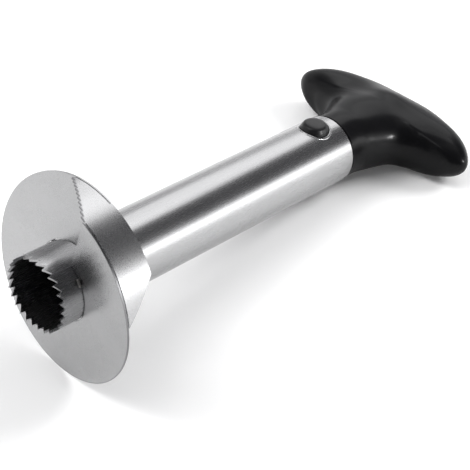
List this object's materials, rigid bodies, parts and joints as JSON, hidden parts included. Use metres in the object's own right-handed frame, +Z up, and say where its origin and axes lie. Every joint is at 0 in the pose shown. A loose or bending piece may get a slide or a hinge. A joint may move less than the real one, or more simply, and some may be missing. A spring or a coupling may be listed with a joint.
{
  "type": "pineapple slicer",
  "caption": "Steel tube with a saw-toothed mouth, a one-turn spiral blade with a serrated rim blade, and a T grip behind two sprung release buttons.",
  "frame": {"origin": "centre of the footprint, on the surface that the tool lies on", "axes": "+Z up with the tool lying as it rests, on the spiral blade's rim and the grip's arms; +X from the toothed end to the grip; Y along the grip's arms. The tube's own axis falls 8.6 degrees from the blade to the grip."},
  "size_m": [0.2388, 0.1014, 0.0851],
  "materials": {
    "tube_steel": "stainless steel, satin, fine grain along the tube",
    "blade_steel": "stainless sheet, fine satin",
    "weld": "spot of weld metal, slightly tinted",
    "grip_plastic": "black plastic, satin",
    "plug_plastic": "dark grey moulded plastic",
    "button_plastic": "black plastic, satin, smooth crown",
    "screw_steel": "zinc-plated steel"
  },
  "bodies": {
    "slicer": {"core_tube": "tube_steel", "spiral_blade": "blade_steel", "rim_blade": "blade_steel", "hub_weld_front": "weld", "hub_weld_back_1": "weld", "hub_weld_back_2": "weld", "hub_weld_back_3": "weld", "rim_weld_foot_1": "weld", "rim_weld_foot_2": "weld", "rim_weld_foot_3": "weld", "rim_weld_top_1": "weld", "rim_weld_top_2": "weld", "handle_grip": "grip_plastic", "handle_plug": "plug_plastic", "plug_end_cap": "plug_plastic", "plug_screw_left": "screw_steel", "plug_screw_right": "screw_steel", "button_spring": "screw_steel"},
    "upper_button": {"release_button_upper": "button_plastic"},
    "lower_button": {"release_button_lower": "button_plastic"}
  },
  "joints": [
    {"name": "upper_button_press", "type": "slide", "parent": "slicer", "child": "upper_button", "axis": [-0.15, 0, -0.9887], "range_m": [0, 0.0046], "stiffness_N_per_m": 1500, "deforming": ["button_spring"]},
    {"name": "lower_button_press", "type": "slide", "parent": "slicer", "child": "lower_button", "axis": [0.15, 0, 0.9887], "range_m": [0, 0.0046], "stiffness_N_per_m": 1500, "deforming": ["button_spring"]}
  ]
}
